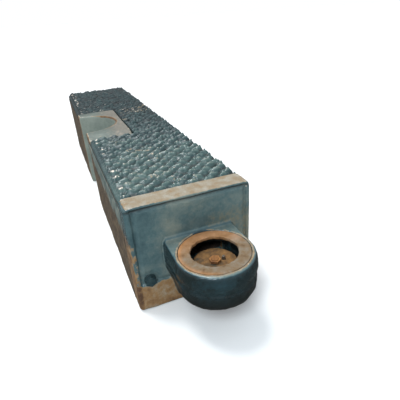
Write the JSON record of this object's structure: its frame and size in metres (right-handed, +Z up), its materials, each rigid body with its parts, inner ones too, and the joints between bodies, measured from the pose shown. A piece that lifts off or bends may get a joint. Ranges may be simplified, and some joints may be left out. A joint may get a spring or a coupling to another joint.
{
  "type": "burner assembly",
  "caption": "Long cast burner casing with a pinned deck, a half-round side saddle and an end spout whose port holds a lifting regulating disc.",
  "frame": {"origin": "underneath the middle of the whole object's box, on the surface it stands on", "axes": "+Y along the casing from the inlet spout to the rear cover, +Z up through the pinned deck, +X to the right seen from the spout"},
  "size_m": [0.2, 1.09, 0.19],
  "materials": {
    "painted_casting": "worn gloss blue-green paint on cast iron",
    "painted_pins": "worn blue-green paint, pins bare on their edges",
    "worn_casting": "smooth worn casting skin",
    "rusted_casting": "brown rust and flaking paint",
    "machined_ring": "machined flat, light rust",
    "inner_iron": "dark scale",
    "steel": "dull steel with light rust",
    "brass": "dull brass",
    "gasket": "compressed mineral fibre"
  },
  "bodies": {
    "casing": {"trough_body": "rusted_casting", "front_header": "painted_casting", "rear_cover": "rusted_casting", "pin_deck": "painted_pins", "side_saddle": "worn_casting", "front_gasket": "gasket", "rear_gasket": "gasket", "deck_seal_right": "gasket", "deck_seal_left_front": "gasket", "deck_seal_left_rear": "gasket", "seat_ring": "machined_ring", "guide_rod": "steel", "gland_bush": "brass", "mixing_tube": "inner_iron", "spreader_baffle": "inner_iron", "front_washer_left": "steel", "front_bolt_left": "rusted_casting", "header_dowel_left": "steel", "tube_screw_left": "steel", "baffle_screw_front_left": "steel", "baffle_screw_rear_left": "steel", "front_washer_right": "steel", "front_bolt_right": "rusted_casting", "header_dowel_right": "steel", "tube_screw_right": "steel", "baffle_screw_front_right": "steel", "baffle_screw_rear_right": "steel", "deck_stud_1": "steel", "deck_washer_1": "steel", "deck_nut_1": "steel", "deck_stud_2": "steel", "deck_washer_2": "steel", "deck_nut_2": "steel", "deck_stud_3": "steel", "deck_washer_3": "steel", "deck_nut_3": "steel", "deck_stud_4": "steel", "deck_washer_4": "steel", "deck_nut_4": "steel", "deck_stud_5": "steel", "deck_washer_5": "steel", "deck_nut_5": "steel", "rear_bolt_1": "steel", "rear_bolt_2": "steel", "rear_bolt_3": "steel", "rear_bolt_4": "steel", "saddle_bolt_1": "steel", "saddle_bolt_2": "steel"},
    "disc": {"regulating_disc": "rusted_casting", "disc_spindle": "steel", "disc_nut": "rusted_casting"},
    "adjuster": {"hand_nut": "brass", "retaining_ring": "steel"}
  },
  "joints": [
    {"name": "adjuster_turn", "type": "hinge", "parent": "casing", "child": "adjuster", "pos_m": [0.0095, -0.483, 0.05], "axis": [0, 0, 1], "range_deg": [-720, 1080]},
    {"name": "disc_lift", "type": "slide", "parent": "casing", "child": "disc", "axis": [0, 0, 1], "range_m": [-0.012, 0.008]}
  ],
  "couplings": [
    {"joint": "disc_lift", "follows": "adjuster_turn", "m_per_rad": -0.0006366}
  ]
}
